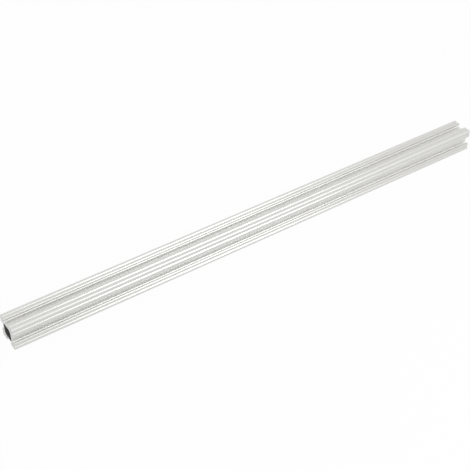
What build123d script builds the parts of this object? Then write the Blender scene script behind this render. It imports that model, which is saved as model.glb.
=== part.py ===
from build123d import *
import os

# Square aluminium T slot extrusion: one extruded bar, sawn square at both ends.
# The bar lies along X and its section stands in the YZ plane. The origin is the
# middle of the face that it lies on. All sizes are in millimetres.

# Stock size
section_width = 20.0
bar_length = 435.0
face_count = 4
corner_radius = 1.5

# Each lip carries two flat ridges with a V groove between them, whose walls
# meet at 90 degrees. The outer ridge runs round the bar's corner. The inner one
# ends at the 45 degree chamfer of the slot mouth.
corner_ridge_width = 2.8
groove_width = 1.8
mouth_ridge_width = 1.7
mouth_chamfer = 0.5

# T slot along the middle of each face. Its flanks rise at 45 degrees from the
# floor to the underside of the lips, and a large radius eases floor into flank.
lip_thickness = 1.8
lip_overhang = 2.2
undercut_height = 1.6
floor_radius = 0.8

# Square core. The metal between two neighbouring slots joins it to the corners.
core_wall = 1.3
core_corner_radius = 2.2

# Rounding of the long edges, and of the sharp roots of undercuts and grooves
edge_radius = 0.2
undercut_root_radius = 0.3
groove_root_radius = 0.4

# Levels are measured from the middle of the section towards one face
face_level = section_width / 2
chamfer_level = face_level - mouth_chamfer
lip_level = face_level - lip_thickness
floor_level = lip_level - undercut_height
core_width = 2 * (floor_level - core_wall)

# Reaches are measured along a face, to either side of its middle
groove_reach = face_level - corner_ridge_width - groove_width / 2
chamfer_reach = groove_reach - groove_width / 2 - mouth_ridge_width
mouth_reach = chamfer_reach - mouth_chamfer
undercut_reach = mouth_reach + lip_overhang
floor_reach = undercut_reach - undercut_height


def reach(vertex):
    """Distance of a vertex from the middle of a slot."""
    return abs(vertex.X)


def level(vertex):
    """Level of a vertex on whichever face of the section it belongs to."""
    return max(abs(vertex.X), abs(vertex.Y))


# Cutting outline of one T slot, which opens through the face at +Y of the sketch
with BuildSketch() as slot:
    with BuildLine():
        Polyline(
            (floor_reach, floor_level),
            (undercut_reach, lip_level),
            (mouth_reach, lip_level),
            (mouth_reach, chamfer_level),
            (chamfer_reach, face_level),
            (chamfer_reach, section_width),
        )
        mirror(about=Plane.YZ)
        Line((-floor_reach, floor_level), (floor_reach, floor_level))
        Line((-chamfer_reach, section_width), (chamfer_reach, section_width))
    make_face()
    lip_edges = slot.vertices().group_by(Axis.Y)[1].group_by(reach)[0]
    chamfer_edges = slot.vertices().group_by(Axis.Y)[2]
    fillet(lip_edges + chamfer_edges, edge_radius)
    undercut_roots = slot.vertices().group_by(Axis.Y)[1].group_by(reach)[-1]
    fillet(undercut_roots, undercut_root_radius)
    floor_roots = slot.vertices().group_by(Axis.Y)[0]
    fillet(floor_roots, floor_radius)

# Cutting outline of the two lip grooves of the same face
with BuildSketch() as grooves:
    with Locations((-groove_reach, face_level), (groove_reach, face_level)):
        RegularPolygon(groove_width / 2, side_count=4)
    fillet(grooves.vertices().group_by(Axis.Y)[0], groove_root_radius)

with BuildPart() as extrusion:
    end_plane = Plane(origin=(-bar_length / 2, 0, face_level), x_dir=(0, 1, 0), z_dir=(1, 0, 0))
    with BuildSketch(end_plane) as section:
        Rectangle(section_width, section_width)
        with PolarLocations(0, face_count):
            add(slot.sketch, mode=Mode.SUBTRACT)
            add(grooves.sketch, mode=Mode.SUBTRACT)
        ridge_edges = section.vertices().group_by(level)[-1].sort_by(SortBy.DISTANCE)[:-face_count]
        fillet(ridge_edges, edge_radius)
        corners = section.vertices().sort_by(SortBy.DISTANCE)[-face_count:]
        fillet(corners, corner_radius)
        RectangleRounded(core_width, core_width, core_corner_radius, mode=Mode.SUBTRACT)
    extrude(amount=bar_length)

os.makedirs("parts", exist_ok=True)
extrusion.part.label = "extrusion"
export_step(extrusion.part, "parts/extrusion.step")
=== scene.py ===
"""A square aluminium T slot bar: its swept section, its satin anodised finish and a white studio."""

import math

import bpy
from bpy.props import FloatProperty, FloatVectorProperty, IntProperty, PointerProperty
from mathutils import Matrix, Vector


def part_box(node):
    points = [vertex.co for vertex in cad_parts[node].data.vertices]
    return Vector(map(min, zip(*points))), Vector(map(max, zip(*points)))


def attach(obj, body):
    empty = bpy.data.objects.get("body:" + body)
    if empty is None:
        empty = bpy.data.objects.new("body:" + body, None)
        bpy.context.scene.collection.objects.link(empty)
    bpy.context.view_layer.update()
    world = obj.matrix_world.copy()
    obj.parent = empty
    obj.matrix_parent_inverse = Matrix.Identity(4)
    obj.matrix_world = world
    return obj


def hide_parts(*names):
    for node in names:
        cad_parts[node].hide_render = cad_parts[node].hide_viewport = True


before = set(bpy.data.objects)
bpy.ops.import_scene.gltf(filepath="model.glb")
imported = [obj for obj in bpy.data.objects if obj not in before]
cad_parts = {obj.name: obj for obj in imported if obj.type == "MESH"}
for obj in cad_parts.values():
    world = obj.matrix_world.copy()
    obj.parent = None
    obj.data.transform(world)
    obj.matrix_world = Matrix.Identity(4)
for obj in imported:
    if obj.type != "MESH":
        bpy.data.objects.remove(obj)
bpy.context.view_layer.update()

bl_info = {
    "name": "T Slot Bar",
    "version": (1, 0, 0),
    "blender": (4, 5, 0),
    "location": "View3D > Sidebar > T Slot Bar",
    "description": "Makes an extruded aluminium T slot bar and a white studio round it",
    "category": "Add Mesh",
}

NODE = "extrusion"
BODY = "root"

# The bar's box in the frame, in metres
MM = 0.001
BAR_LOW, BAR_HIGH = (Vector(corner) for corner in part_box(NODE))
BAR_SIZE = BAR_HIGH - BAR_LOW
BAR_MIDDLE = (BAR_LOW + BAR_HIGH) / 2

# The section has four like faces, and the two halves of each mirror one another
FACE_COUNT = 4
QUARTER_TURN = math.pi / 2

# Closer than any two corners of the section, in metres
WELD_DISTANCE = 0.001 * MM

# Turns the swept section, drawn flat, so that its sweep runs along X and its up is Z
LAY_ALONG_X = (math.radians(90), 0, math.radians(90))

# Places of the colour sockets of a Mix node, whose names repeat for each kind of value
MIX_FACTOR = 0
MIX_START = 6
MIX_END = 7
MIX_RESULT = 2

# The saw edge is broken wherever the faces meet at more than this angle
RIM_ANGLE = math.radians(60)
RIM_SEGMENTS = 2

# Make-up of the streaks and of the saw marks. Noise keeps near its middle until it is spread.
NOISE_DETAIL = 3.0
FINE_SHARE = 0.4
BROAD_SHARE = 0.4
CLOUD_SHARE = 0.2
STREAK_CONTRAST = 3.0
RUB_CONTRAST = 8.0
SCRATCHES_PER_ARC = 6.0
SCRATCH_SHADE = 0.3

# Heights are in metres already, so that the bump's own distance is one
BUMP_DISTANCE = 1.0
WHITE = 1.0


def length(name, description, default):
    """A size of the bar, given in millimetres and held in metres."""
    return FloatProperty(
        name=name, description=description, default=default * MM, min=0, precision=5, unit="LENGTH",
    )


def share(name, description, default):
    """A number from nought to one."""
    return FloatProperty(
        name=name, description=description, default=default, min=0, max=1, subtype="FACTOR",
    )


def angle(name, description, default):
    """An angle, given in degrees and held in radians."""
    return FloatProperty(
        name=name, description=description, default=math.radians(default), subtype="ANGLE",
    )


def metres(name, description, default):
    """A size of the studio, in metres."""
    return FloatProperty(name=name, description=description, default=default, unit="LENGTH")


def point(name, description, default):
    """A place or an offset, in metres."""
    return FloatVectorProperty(
        name=name, description=description, default=default, subtype="XYZ", unit="LENGTH",
    )


def tint(name, description, default):
    """A linear colour."""
    return FloatVectorProperty(
        name=name, description=description, default=default, min=0, max=1, subtype="COLOR",
    )


def count(name, description, default):
    """A whole number of points."""
    return IntProperty(name=name, description=description, default=default, min=2)


class BarSizes(bpy.types.PropertyGroup):
    """Sizes of the section, which is the same on all four faces."""

    corner_radius: length("Corner Radius", "Rounding of the four corners", 1.5)
    corner_ridge: length("Corner Ridge", "From a corner to the groove of its lip", 2.8)
    groove_width: length("Groove Width", "Width of the V groove of a lip", 1.8)
    mouth_ridge: length("Mouth Ridge", "From the groove of a lip to the mouth's chamfer", 1.7)
    mouth_chamfer: length("Mouth Chamfer", "Leg of the chamfer along the slot mouth", 0.5)
    lip_thickness: length("Lip Thickness", "From the face to the underside of a lip", 1.8)
    lip_overhang: length("Lip Overhang", "How far a lip reaches over the undercut", 2.2)
    undercut_height: length("Undercut Height", "From a slot's floor to the underside of a lip", 1.6)
    core_wall: length("Core Wall", "Metal between a slot's floor and the core", 1.3)
    core_radius: length("Core Radius", "Rounding of the hollow core's corners", 2.2)
    edge_radius: length("Edge Radius", "Rounding of the long outer edges", 0.2)
    floor_radius: length("Floor Radius", "Rounding between a slot's floor and its flanks", 0.8)
    undercut_root: length("Undercut Root", "Rounding at the root of an undercut", 0.3)
    groove_root: length("Groove Root", "Rounding at the root of a groove", 0.4)
    saw_edge: length("Saw Edge", "Width of the broken edge round a saw cut", 0.1)
    arc_points: count("Arc Points", "Points on each rounded corner", 6)
    core_arc_points: count("Core Arc Points", "Points on each corner of the core", 12)


class MetalLooks(bpy.types.PropertyGroup):
    """Colours, gloss and fine marks of the anodised aluminium, with painted light in the slots and on
    the corners and painted shade in the core.
    """

    colour: tint("Colour", "Clear anodised aluminium", (0.659, 0.657, 0.636))
    streak_colour: tint("Streak Colour", "The duller die lines", (0.619, 0.618, 0.598))
    # Painted light: the slots are given a brighter colour than the faces, which stands in for light
    # reaching into them
    slot_painted_light_colour: tint("Slot Colour", "The brighter finish inside the slots", (0.777, 0.776, 0.762))
    # Painted highlight: the rounded corners are given a brighter colour along the whole bar, which
    # stands in for their shine
    corner_painted_highlight_colour: tint("Corner Colour", "The four corners, polished by handling", (0.7, 0.699, 0.683))
    # Painted light: under the lips the colour is brighter still, which stands in for light in the
    # undercuts
    undercut_painted_light_colour: tint("Undercut Colour", "Under the lips of the slots", (0.9, 0.898, 0.882))
    rub_colour: tint("Rub Colour", "Where the faces have been rubbed brighter", (0.692, 0.69, 0.671))
    cut_colour: tint("Cut Colour", "Bare metal of the saw cuts", (0.659, 0.658, 0.643))
    # Painted shade: the core's wall is near black, which stands in for the shade deep in the hollow
    # core; its roughness is its own
    bore_painted_shade_colour: tint("Bore Colour", "Unpolished wall of the hollow core", (0.16, 0.16, 0.15))
    roughness: share("Roughness", "Roughness of the satin faces", 0.345)
    streak_roughness: share("Streak Roughness", "Added along the duller die lines", 0.05)
    slot_roughness: share("Slot Roughness", "Roughness inside the slots, which nothing rubs", 0.41)
    haze: share("Haze", "Share of light that the oxide scatters all ways", 0.21)
    slot_haze: share("Slot Haze", "The same inside the slots", 0.46)
    rub_polish: share("Rub Polish", "Taken from the roughness in a rub mark", 0.04)
    cut_roughness: share("Cut Roughness", "Roughness of the saw cuts", 0.42)
    bore_roughness: share("Bore Roughness", "Roughness of the core's wall", 0.65)
    fine_line: length("Fine Line", "Spacing of the finest die lines", 0.12)
    broad_line: length("Broad Line", "Spacing of the broad die streaks", 0.9)
    line_length: length("Line Length", "How far a die line runs before it changes", 260.0)
    grain_size: length("Grain Size", "Size of the etched grain", 0.06)
    cloud_size: length("Cloud Size", "Size of the faint clouds in the finish", 30.0)
    rub_width: length("Rub Width", "Width of a rub mark on the faces", 0.08)
    rub_length: length("Rub Length", "Length of a rub mark on the faces", 14.0)
    line_relief: length("Line Relief", "Height of the die lines", 0.003)
    grain_relief: length("Grain Relief", "Height of the etched grain", 0.0015)
    saw_relief: length("Saw Relief", "Height of the marks of the saw", 0.006)
    saw_pitch: length("Saw Pitch", "Spacing of the arcs that the blade leaves", 0.45)
    saw_centre: point("Saw Centre", "Middle of the blade, from the bar's middle", (0, -0.11, 0.13))


class StudioLooks(bpy.types.PropertyGroup):
    """Camera, floor and light of the studio."""

    lens: FloatProperty(
        name="Lens", description="Focal length for a 36 mm sensor", default=80.7, unit="CAMERA",
    )
    yaw: angle("Yaw", "Camera's turn from straight across the bar", 34.29)
    pitch: angle("Pitch", "How far the camera looks down", 39.86)
    distance: metres("Distance", "From the camera to its aim", 0.8235)
    aim: point("Aim", "Where the camera looks", (-0.0251, -0.0023, 0.0104))
    floor_size: metres("Floor Size", "Side of the square floor", 8.0)
    floor_colour: tint("Floor Colour", "The floor where light falls on it", (0.8, 0.8, 0.8))
    floor_glow: share("Floor Glow", "How much of the floor shows as plain white", 0.955)
    sky: share("Sky", "Brightness of the soft light all round, against white", 0.82)
    softbox_width: metres("Softbox Width", "Along the bar", 0.265)
    softbox_height: metres("Softbox Height", "Across the bar", 0.385)
    softbox_brightness: FloatProperty(
        name="Softbox Brightness", description="Against white", default=3.61, min=0,
    )
    softbox_aim: point("Softbox Aim", "The part of the bar that it lights most", (-0.062, 0, 0.01))
    softbox_offset: point("Softbox Offset", "From its aim to the softbox", (0.249, -0.447, 0.38))


class Socket:
    """Wraps a node's output, so that sums on it add Math nodes."""

    def __init__(self, tree, socket):
        self.tree = tree
        self.socket = socket

    def __getitem__(self, name):
        """Another output of the same node."""
        return Socket(self.tree, self.socket.node.outputs[name])

    def math(self, operation, *values):
        """A Math node of these values."""
        return self.tree.node("ShaderNodeMath", {"operation": operation}, dict(enumerate(values)))

    def __add__(self, other):
        return self.math("ADD", self, other)

    def __radd__(self, other):
        return self.math("ADD", other, self)

    def __sub__(self, other):
        return self.math("SUBTRACT", self, other)

    def __rsub__(self, other):
        return self.math("SUBTRACT", other, self)

    def __mul__(self, other):
        return self.math("MULTIPLY", self, other)

    def __rmul__(self, other):
        return self.math("MULTIPLY", other, self)

    def __truediv__(self, other):
        return self.math("DIVIDE", self, other)

    def __mod__(self, other):
        return self.math("MODULO", self, other)

    def __floordiv__(self, other):
        return self.math("FLOOR", self / other)

    def __gt__(self, other):
        return self.math("GREATER_THAN", self, other)

    def __lt__(self, other):
        return self.math("LESS_THAN", self, other)

    def __abs__(self):
        return self.math("ABSOLUTE", self)

    def least(self, other):
        """The smaller of two values."""
        return self.math("MINIMUM", self, other)

    def most(self, other):
        """The larger of two values."""
        return self.math("MAXIMUM", self, other)

    def choose(self, value, other):
        """One value where this mask is one, and the other where it is nought."""
        return other + self * (value - other)

    def spread(self, contrast):
        """The value moved away from its middle, and kept from nought to one."""
        return self.tree.node(
            "ShaderNodeMath", {"operation": "MULTIPLY_ADD", "use_clamp": True},
            {0: self, 1: contrast, 2: (1 - contrast) / 2},
        )


class Tree:
    """Writes a shader or geometry tree, one node for each call."""

    def __init__(self, tree):
        self.tree = tree

    def node(self, kind, settings=None, sockets=None, choices=0):
        """Adds a node with these settings, then its values and links, and returns its first output.

        An index switch gets its number of choices before their values.
        """
        node = self.tree.nodes.new(kind)
        for name, value in (settings or {}).items():
            setattr(node, name, value)
        while choices and len(node.index_switch_items) < choices:
            node.index_switch_items.new()
        for name, value in (sockets or {}).items():
            for item in value if isinstance(value, list) else [value]:
                if isinstance(item, Socket):
                    self.tree.links.new(item.socket, node.inputs[name])
                else:
                    node.inputs[name].default_value = item
        first = next((output for output in node.outputs if output.enabled), None)
        return Socket(self, first) if first else None

    def pick(self, index, values):
        """The value that an index names."""
        sockets = dict(enumerate(values, start=1))
        sockets["Index"] = index
        return self.node(
            "GeometryNodeIndexSwitch", {"data_type": "FLOAT"}, sockets, choices=len(values),
        )

    def lines(self, place, across, along):
        """Noise that is stretched along the bar."""
        stretched = self.node(
            "ShaderNodeVectorMath", {"operation": "DIVIDE"}, {0: place, 1: (along, across, across)},
        )
        return self.node(
            "ShaderNodeTexNoise", sockets={"Vector": stretched, "Scale": 1.0, "Detail": NOISE_DETAIL},
        )

    def blend(self, factor, start, end):
        """A colour between two, each of them a socket or a plain colour."""
        start, end = (colour if isinstance(colour, Socket) else (*colour, 1) for colour in (start, end))
        sockets = {MIX_FACTOR: factor, MIX_START: start, MIX_END: end}
        return self.node("ShaderNodeMix", {"data_type": "RGBA"}, sockets)[MIX_RESULT]


def eighth_corners(size, half_width):
    """Corners of an eighth of the outline, from slot floor to bar corner, with their roundings."""
    lip = half_width - size["lip_thickness"]
    floor = lip - size["undercut_height"]
    chamfer = half_width - size["mouth_chamfer"]
    groove_depth = size["groove_width"] / 2
    groove_reach = half_width - size["corner_ridge"] - groove_depth
    chamfer_reach = groove_reach - groove_depth - size["mouth_ridge"]
    mouth_reach = chamfer_reach - size["mouth_chamfer"]
    undercut_reach = mouth_reach + size["lip_overhang"]
    edge = size["edge_radius"]
    return [
        (undercut_reach - size["undercut_height"], floor, size["floor_radius"]),
        (undercut_reach, lip, size["undercut_root"]),
        (mouth_reach, lip, edge),
        (mouth_reach, chamfer, edge),
        (chamfer_reach, half_width, edge),
        (groove_reach - groove_depth, half_width, edge),
        (groove_reach, half_width - groove_depth, size["groove_root"]),
        (groove_reach + groove_depth, half_width, edge),
        (half_width, half_width, size["corner_radius"]),
    ]


def section_outline(tree, size):
    """The outline: the corners of an eighth are mirrored into a face, and the face turned round."""
    corners = eighth_corners(size, size["width"] / 2)
    face_corners = 2 * len(corners) - 1
    index = tree.node("GeometryNodeInputIndex")
    turns = index // face_corners
    step = index % face_corners
    eighth = step.least(face_corners - 1 - step)
    reaches, levels, roundings = zip(*corners)
    reach = tree.pick(eighth, reaches)
    level = tree.pick(eighth, levels)
    rounding = tree.pick(eighth, roundings)
    mirrored = step > len(corners) - 1
    place = tree.node(
        "ShaderNodeCombineXYZ",
        sockets={"X": reach + mirrored * (level - reach), "Y": level + mirrored * (reach - level)},
    )
    turned = tree.node(
        "ShaderNodeVectorRotate", {"rotation_type": "Z_AXIS"},
        {"Vector": place, "Angle": turns * -QUARTER_TURN},
    )
    points = tree.node(
        "GeometryNodePoints", sockets={"Count": FACE_COUNT * face_corners, "Position": turned},
    )
    line = tree.node("GeometryNodePointsToCurves", sockets={"Points": points, "Weight": index})
    ring = tree.node("GeometryNodeSetSplineCyclic", sockets={"Geometry": line, "Cyclic": True})
    return tree.node(
        "GeometryNodeFilletCurve", {"mode": "POLY"},
        {"Curve": ring, "Count": size["arc_points"], "Radius": rounding},
    )


def core_outline(tree, size):
    """The rounded square of the hollow core."""
    floor = size["width"] / 2 - size["lip_thickness"] - size["undercut_height"]
    width = (floor - size["core_wall"]) * 2
    square = tree.node(
        "GeometryNodeCurvePrimitiveQuadrilateral", sockets={"Width": width, "Height": width},
    )
    return tree.node(
        "GeometryNodeFilletCurve", {"mode": "POLY"},
        {"Curve": square, "Count": size["core_arc_points"], "Radius": size["core_radius"]},
    )


def sweep_tree(sizes, material):
    """Geometry Nodes that sweep the section along the bar, with an input for each size."""
    group = bpy.data.node_groups.new("sweep_bar", "GeometryNodeTree")
    tree = Tree(group)
    for name, value in sizes.items():
        kind = "NodeSocketInt" if isinstance(value, int) else "NodeSocketFloat"
        group.interface.new_socket(name, in_out="INPUT", socket_type=kind)
    group.interface.new_socket("Geometry", in_out="OUTPUT", socket_type="NodeSocketGeometry")
    given = tree.node("NodeGroupInput")
    size = {name: given[name] for name in sizes}

    outlines = [section_outline(tree, size), core_outline(tree, size)]
    rims = tree.node("GeometryNodeJoinGeometry", sockets={"Geometry": outlines})
    near_end = tree.node("GeometryNodeFillCurve", {"mode": "NGONS"}, {"Curve": rims})
    swept = tree.node(
        "GeometryNodeExtrudeMesh",
        sockets={"Mesh": near_end, "Offset Scale": size["length"], "Individual": False},
    )
    turned_end = tree.node("GeometryNodeFlipFaces", sockets={"Mesh": near_end})
    both = tree.node("GeometryNodeJoinGeometry", sockets={"Geometry": [swept, turned_end]})
    welded = tree.node(
        "GeometryNodeMergeByDistance", sockets={"Geometry": both, "Distance": WELD_DISTANCE},
    )
    laid = tree.node(
        "GeometryNodeTransform",
        sockets={
            "Geometry": welded,
            "Rotation": LAY_ALONG_X,
            "Translation": (BAR_LOW.x, BAR_MIDDLE.y, BAR_MIDDLE.z),
        },
    )
    smooth = tree.node("GeometryNodeSetShadeSmooth", sockets={"Geometry": laid, "Shade Smooth": True})
    real = tree.node("GeometryNodeRealizeInstances", sockets={"Geometry": smooth})
    finished = tree.node("GeometryNodeSetMaterial", sockets={"Geometry": real, "Material": material})
    tree.node("NodeGroupOutput", sockets={"Geometry": finished})
    return group


def empty_tree(owner):
    """The node tree of a new material or world, with nothing in it."""
    owner.use_nodes = True
    owner.node_tree.nodes.clear()
    return Tree(owner.node_tree)


class Surfaces:
    """A mask for each kind of surface, found from a place measured from the bar's middle."""

    def __init__(self, tree, place, sizes):
        axes = tree.node("ShaderNodeSeparateXYZ", sockets={"Vector": place})
        level = abs(axes["Y"]).most(abs(axes["Z"]))
        across = abs(axes["Y"]).least(abs(axes["Z"]))
        half_width = BAR_SIZE.y / 2
        core_reach = half_width - sizes.lip_thickness - sizes.undercut_height - sizes.core_wall
        lip_width = sizes.corner_ridge + sizes.groove_width + sizes.mouth_ridge + sizes.mouth_chamfer
        self.cut = abs(axes["X"]) > BAR_SIZE.x / 2 - sizes.saw_edge / 2
        self.face = level > half_width - sizes.edge_radius / 2
        self.slot = level < half_width - sizes.lip_thickness + sizes.edge_radius
        self.undercut = self.slot * (across > half_width - lip_width + sizes.edge_radius)
        self.corner = across > half_width - sizes.corner_radius
        self.bore = (level < core_reach + sizes.saw_edge) * (1 - self.cut)


class Marks:
    """Patterns of the finish, each of them from nought to one but for the arcs."""

    def __init__(self, tree, place, looks):
        # Die lines and rub marks run along the bar, and grain and clouds lie all over it
        self.fine = tree.lines(place, looks.fine_line, looks.line_length)
        self.broad = tree.lines(place, looks.broad_line, looks.line_length)
        self.rubs = tree.lines(place, looks.rub_width, looks.rub_length).spread(RUB_CONTRAST)
        self.grain = tree.lines(place, looks.grain_size, looks.grain_size)
        clouds = tree.lines(place, looks.cloud_size, looks.cloud_size)
        mixed = self.fine * FINE_SHARE + self.broad * BROAD_SHARE + clouds * CLOUD_SHARE
        self.streaks = mixed.spread(STREAK_CONTRAST)

        # The blade leaves arcs about its own middle, with scratches of uneven depth between them
        turns = tree.node(
            "ShaderNodeVectorMath", {"operation": "DISTANCE"}, {0: place, 1: looks.saw_centre},
        )["Value"] / looks.saw_pitch
        self.arcs = turns.math("SINE", turns * math.tau)
        self.scratches = tree.node(
            "ShaderNodeTexNoise", {"noise_dimensions": "1D"},
            {"W": turns, "Scale": SCRATCHES_PER_ARC, "Detail": NOISE_DETAIL},
        )


def aluminium_finish(looks, sizes):
    """Satin anodised aluminium with die lines along it, saw marks on its ends and a rough core wall,
    with painted light in the slots and on the corners and the core painted dark as shade.
    """
    material = bpy.data.materials.new("satin_anodised")
    tree = empty_tree(material)
    place = tree.node(
        "ShaderNodeVectorMath", {"operation": "SUBTRACT"},
        {0: tree.node("ShaderNodeTexCoord")["Object"], 1: BAR_MIDDLE},
    )
    on = Surfaces(tree, place, sizes)
    marks = Marks(tree, place, looks)
    rubbed = on.face * marks.rubs

    colour = tree.blend(marks.streaks, looks.colour, looks.streak_colour)
    # Painted light: the slots, and under their lips the undercuts, are coloured brighter than the faces
    colour = tree.blend(on.slot, colour, looks.slot_painted_light_colour)
    colour = tree.blend(on.undercut, colour, looks.undercut_painted_light_colour)
    # Painted highlight: a brighter colour on the four rounded corners
    colour = tree.blend(on.corner, colour, looks.corner_painted_highlight_colour)
    colour = tree.blend(rubbed, colour, looks.rub_colour)
    colour = tree.blend(on.cut * (1 - marks.scratches * SCRATCH_SHADE), colour, looks.cut_colour)
    # Painted shade: the core's wall is coloured near black
    colour = tree.blend(on.bore, colour, looks.bore_painted_shade_colour)

    roughness = on.slot.choose(looks.slot_roughness, looks.roughness)
    roughness = roughness + marks.streaks * looks.streak_roughness - rubbed * looks.rub_polish
    roughness = on.cut.choose(looks.cut_roughness, roughness)
    roughness = on.bore.choose(looks.bore_roughness, roughness)
    haze = on.slot.choose(looks.slot_haze, looks.haze)

    saw_marks = (marks.arcs + marks.scratches) * looks.saw_relief
    die_marks = (marks.fine + marks.broad) * looks.line_relief + marks.grain * looks.grain_relief
    height = on.cut.choose(saw_marks, die_marks)
    normal = tree.node("ShaderNodeBump", sockets={"Height": height, "Distance": BUMP_DISTANCE})
    surface = tree.node(
        "ShaderNodeBsdfPrincipled",
        sockets={"Base Color": colour, "Metallic": 1 - haze, "Roughness": roughness, "Normal": normal},
    )
    tree.node("ShaderNodeOutputMaterial", sockets={"Surface": surface})
    return material


def shows_background(tree):
    """One for a ray that shows the background itself, and nought for one that only lights."""
    path = tree.node("ShaderNodeLightPath")
    return (path["Is Camera Ray"] + path["Is Glossy Ray"] + path["Is Transmission Ray"]).least(1)


def white_floor_finish(studio):
    """A floor that shows plain white, with a faint shadow on it."""
    material = bpy.data.materials.new("white_floor")
    tree = empty_tree(material)
    lit = tree.node("ShaderNodeBsdfDiffuse", sockets={"Color": (*studio.floor_colour, 1)})
    white = tree.node("ShaderNodeEmission", sockets={"Strength": WHITE})
    glow = shows_background(tree) * studio.floor_glow
    mixed = tree.node("ShaderNodeMixShader", sockets={0: glow, 1: lit, 2: white})
    tree.node("ShaderNodeOutputMaterial", sockets={"Surface": mixed})
    return material


def add_object(context, name, data):
    """A new object of the scene."""
    item = bpy.data.objects.new(name, data)
    context.scene.collection.objects.link(item)
    return item


def look_along(item, direction):
    """Turns a lamp or a camera, so that it looks along a direction."""
    item.rotation_euler = direction.to_track_quat("-Z", "Y").to_euler()


def add_floor(context, studio):
    """A square floor round the origin."""
    reach = studio.floor_size / 2
    corners = [(-reach, -reach, 0), (reach, -reach, 0), (reach, reach, 0), (-reach, reach, 0)]
    plane = bpy.data.meshes.new("floor")
    plane.from_pydata(corners, [], [(0, 1, 2, 3)])
    plane.materials.append(white_floor_finish(studio))
    add_object(context, "floor", plane)


def add_sky(context, studio):
    """Soft light from all round, which shows as plain white."""
    world = bpy.data.worlds.new("studio")
    tree = empty_tree(world)
    strength = shows_background(tree).choose(WHITE, studio.sky)
    sky = tree.node("ShaderNodeBackground", sockets={"Color": (1, 1, 1, 1), "Strength": strength})
    tree.node("ShaderNodeOutputWorld", sockets={"Surface": sky})
    context.scene.world = world


def add_softbox(context, studio):
    """A rectangular lamp above the front of the bar."""
    light = bpy.data.lights.new("softbox", "AREA")
    light.shape = "RECTANGLE"
    light.size = studio.softbox_width
    light.size_y = studio.softbox_height
    light.energy = studio.softbox_brightness * math.pi * light.size * light.size_y
    softbox = add_object(context, "softbox", light)
    offset = Vector(studio.softbox_offset)
    softbox.location = Vector(studio.softbox_aim) + offset
    look_along(softbox, -offset)


def add_camera(context, studio):
    """The camera, placed by its turn, its tilt and its distance from what it looks at."""
    lens = bpy.data.cameras.new("camera")
    lens.lens = studio.lens
    camera = add_object(context, "camera", lens)
    forward = Vector((
        math.sin(studio.yaw) * math.cos(studio.pitch),
        math.cos(studio.yaw) * math.cos(studio.pitch),
        -math.sin(studio.pitch),
    ))
    camera.location = Vector(studio.aim) - forward * studio.distance
    look_along(camera, forward)
    context.scene.camera = camera


class TSLOT_OT_make_bar(bpy.types.Operator):
    """Sweep the section along the bar and give it its finish"""

    bl_idname = "tslot.make_bar"
    bl_label = "Make Bar"

    def execute(self, context):
        sizes = context.scene.bar_sizes
        values = {name: getattr(sizes, name) for name in BarSizes.__annotations__}
        values.update(length=BAR_SIZE.x, width=BAR_SIZE.y)
        bar = add_object(context, "t_slot_bar", bpy.data.meshes.new("t_slot_bar"))
        group = sweep_tree(values, aluminium_finish(context.scene.metal_looks, sizes))
        sweep = bar.modifiers.new("sweep", "NODES")
        sweep.node_group = group
        for item in group.interface.items_tree:
            if item.in_out == "INPUT":
                sweep[item.identifier] = values[item.name]
        rim = bar.modifiers.new("saw_edge", "BEVEL")
        rim.width = sizes.saw_edge
        rim.segments = RIM_SEGMENTS
        rim.limit_method = "ANGLE"
        rim.angle_limit = RIM_ANGLE
        rim.use_clamp_overlap = False
        bar.modifiers.new("normals", "WEIGHTED_NORMAL")
        bar.data = bpy.data.meshes.new_from_object(bar.evaluated_get(context.evaluated_depsgraph_get()))
        bar.modifiers.clear()
        if not bar.data.polygons:
            raise RuntimeError("The sweep made no faces.")
        # The fill comes with an empty material slot ahead of the finish
        bar.data.materials.pop(index=0)
        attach(bar, BODY)
        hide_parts(NODE)
        return {"FINISHED"}


class TSLOT_OT_set_stage(bpy.types.Operator):
    """Lay the floor, light the studio and place the camera"""

    bl_idname = "tslot.set_stage"
    bl_label = "Set Stage"

    def execute(self, context):
        studio = context.scene.studio_looks
        add_floor(context, studio)
        add_sky(context, studio)
        add_softbox(context, studio)
        add_camera(context, studio)
        context.scene.view_settings.view_transform = "Standard"
        return {"FINISHED"}


class TSLOT_PT_bar(bpy.types.Panel):
    """Sizes, looks and makers of the bar"""

    bl_label = "T Slot Bar"
    bl_space_type = "VIEW_3D"
    bl_region_type = "UI"
    bl_category = "T Slot Bar"

    def draw(self, context):
        for name in SETTINGS:
            settings = getattr(context.scene, name)
            for item in type(settings).__annotations__:
                self.layout.prop(settings, item)
        for operator in OPERATORS:
            self.layout.operator(operator.bl_idname)


SETTINGS = {"bar_sizes": BarSizes, "metal_looks": MetalLooks, "studio_looks": StudioLooks}
OPERATORS = (TSLOT_OT_make_bar, TSLOT_OT_set_stage)
CLASSES = (*SETTINGS.values(), *OPERATORS, TSLOT_PT_bar)


def register():
    for cls in CLASSES:
        bpy.utils.register_class(cls)
    for name, settings in SETTINGS.items():
        setattr(bpy.types.Scene, name, PointerProperty(type=settings))


def unregister():
    for name in SETTINGS:
        delattr(bpy.types.Scene, name)
    for cls in reversed(CLASSES):
        bpy.utils.unregister_class(cls)


def main():
    register()
    bpy.ops.tslot.make_bar()
    bpy.ops.tslot.set_stage()


if __name__ == "__main__":
    main()
